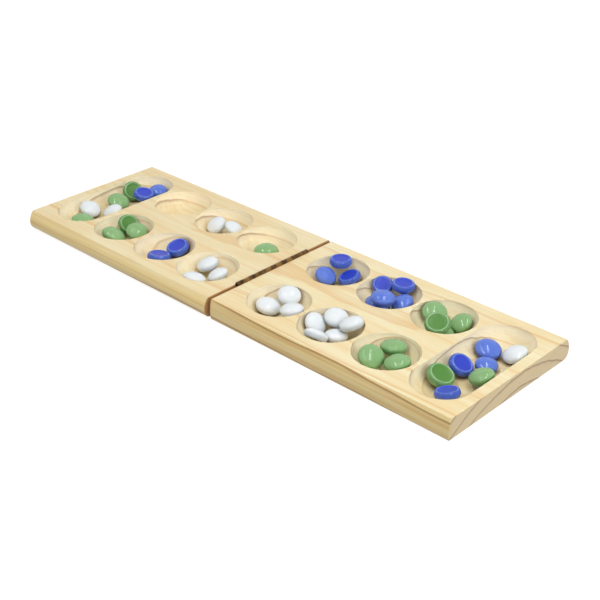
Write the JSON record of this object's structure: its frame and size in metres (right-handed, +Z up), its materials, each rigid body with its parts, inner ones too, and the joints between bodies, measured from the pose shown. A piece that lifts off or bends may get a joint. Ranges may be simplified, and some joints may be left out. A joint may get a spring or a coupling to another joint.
{
  "type": "folding mancala board",
  "caption": "Wooden mancala board that folds on a small brass hinge, with round pits, a long store at each end and a set of glass stones lying in them.",
  "frame": {"origin": "middle of the seam between the two halves, on the bottom face that the open board stands on", "axes": "+X along the board's length to the end of the right half, +Y across its width to the rear row of pits, +Z up"},
  "size_m": [0.4444, 0.1396, 0.0235],
  "materials": {
    "pine": "satin clear lacquer on pale pine",
    "brass": "aged brass plate",
    "dark_brass": "dark aged brass",
    "steel": "yellow-passivated screw heads",
    "white_glass": "opaque white glass, glossy",
    "blue_glass": "opaque blue glass, glossy",
    "green_glass": "opaque green glass, glossy"
  },
  "bodies": {
    "right_half": {"right_board": "pine", "hinge_leaf_right": "brass", "hinge_pin": "dark_brass", "screws_right": "steel"},
    "left_half": {"left_board": "pine", "hinge_leaf_left": "brass", "screws_left": "steel"},
    "stones_left_store": {"green_stone_1": "green_glass", "blue_stone_1": "blue_glass", "blue_stone_2": "blue_glass", "green_stone_2": "green_glass", "white_stone_1": "white_glass", "white_stone_2": "white_glass", "green_stone_3": "green_glass"},
    "stones_left_front_1": {"white_stone_3": "white_glass", "white_stone_4": "white_glass", "white_stone_5": "white_glass"},
    "stones_left_front_2": {"blue_stone_3": "blue_glass", "blue_stone_4": "blue_glass"},
    "stones_left_front_3": {"green_stone_4": "green_glass", "green_stone_5": "green_glass", "green_stone_6": "green_glass"},
    "stones_left_rear_1": {"green_stone_7": "green_glass"},
    "stones_left_rear_2": {"white_stone_6": "white_glass", "white_stone_7": "white_glass"},
    "stones_right_store": {"blue_stone_5": "blue_glass", "white_stone_8": "white_glass", "blue_stone_6": "blue_glass", "blue_stone_7": "blue_glass", "green_stone_8": "green_glass", "green_stone_9": "green_glass", "blue_stone_8": "blue_glass"},
    "stones_right_front_1": {"white_stone_9": "white_glass", "white_stone_10": "white_glass", "white_stone_11": "white_glass"},
    "stones_right_front_2": {"white_stone_12": "white_glass", "white_stone_13": "white_glass", "white_stone_14": "white_glass", "white_stone_15": "white_glass", "white_stone_16": "white_glass"},
    "stones_right_front_3": {"green_stone_10": "green_glass", "green_stone_11": "green_glass", "green_stone_12": "green_glass"},
    "stones_right_rear_1": {"blue_stone_9": "blue_glass", "blue_stone_10": "blue_glass", "blue_stone_11": "blue_glass"},
    "stones_right_rear_2": {"blue_stone_12": "blue_glass", "blue_stone_13": "blue_glass", "blue_stone_14": "blue_glass", "blue_stone_15": "blue_glass", "blue_stone_16": "blue_glass"},
    "stones_right_rear_3": {"green_stone_13": "green_glass", "green_stone_14": "green_glass", "green_stone_15": "green_glass", "green_stone_16": "green_glass"}
  },
  "joints": [
    {"name": "fold", "type": "hinge", "parent": "right_half", "child": "left_half", "pos_m": [0, 0, 0.0173], "axis": [0, -1, 0], "range_deg": [-180, 0]},
    {"name": "lift_left_store", "type": "slide", "parent": "left_half", "child": "stones_left_store", "axis": [0, 0, 1], "range_m": [0, 0.04]},
    {"name": "lift_left_front_1", "type": "slide", "parent": "left_half", "child": "stones_left_front_1", "axis": [0, 0, 1], "range_m": [0, 0.04]},
    {"name": "lift_left_front_2", "type": "slide", "parent": "left_half", "child": "stones_left_front_2", "axis": [0, 0, 1], "range_m": [0, 0.04]},
    {"name": "lift_left_front_3", "type": "slide", "parent": "left_half", "child": "stones_left_front_3", "axis": [0, 0, 1], "range_m": [0, 0.04]},
    {"name": "lift_left_rear_1", "type": "slide", "parent": "left_half", "child": "stones_left_rear_1", "axis": [0, 0, 1], "range_m": [0, 0.04]},
    {"name": "lift_left_rear_2", "type": "slide", "parent": "left_half", "child": "stones_left_rear_2", "axis": [0, 0, 1], "range_m": [0, 0.04]},
    {"name": "lift_right_store", "type": "slide", "parent": "right_half", "child": "stones_right_store", "axis": [0, 0, 1], "range_m": [0, 0.04]},
    {"name": "lift_right_front_1", "type": "slide", "parent": "right_half", "child": "stones_right_front_1", "axis": [0, 0, 1], "range_m": [0, 0.04]},
    {"name": "lift_right_front_2", "type": "slide", "parent": "right_half", "child": "stones_right_front_2", "axis": [0, 0, 1], "range_m": [0, 0.04]},
    {"name": "lift_right_front_3", "type": "slide", "parent": "right_half", "child": "stones_right_front_3", "axis": [0, 0, 1], "range_m": [0, 0.04]},
    {"name": "lift_right_rear_1", "type": "slide", "parent": "right_half", "child": "stones_right_rear_1", "axis": [0, 0, 1], "range_m": [0, 0.04]},
    {"name": "lift_right_rear_2", "type": "slide", "parent": "right_half", "child": "stones_right_rear_2", "axis": [0, 0, 1], "range_m": [0, 0.04]},
    {"name": "lift_right_rear_3", "type": "slide", "parent": "right_half", "child": "stones_right_rear_3", "axis": [0, 0, 1], "range_m": [0, 0.04]}
  ]
}
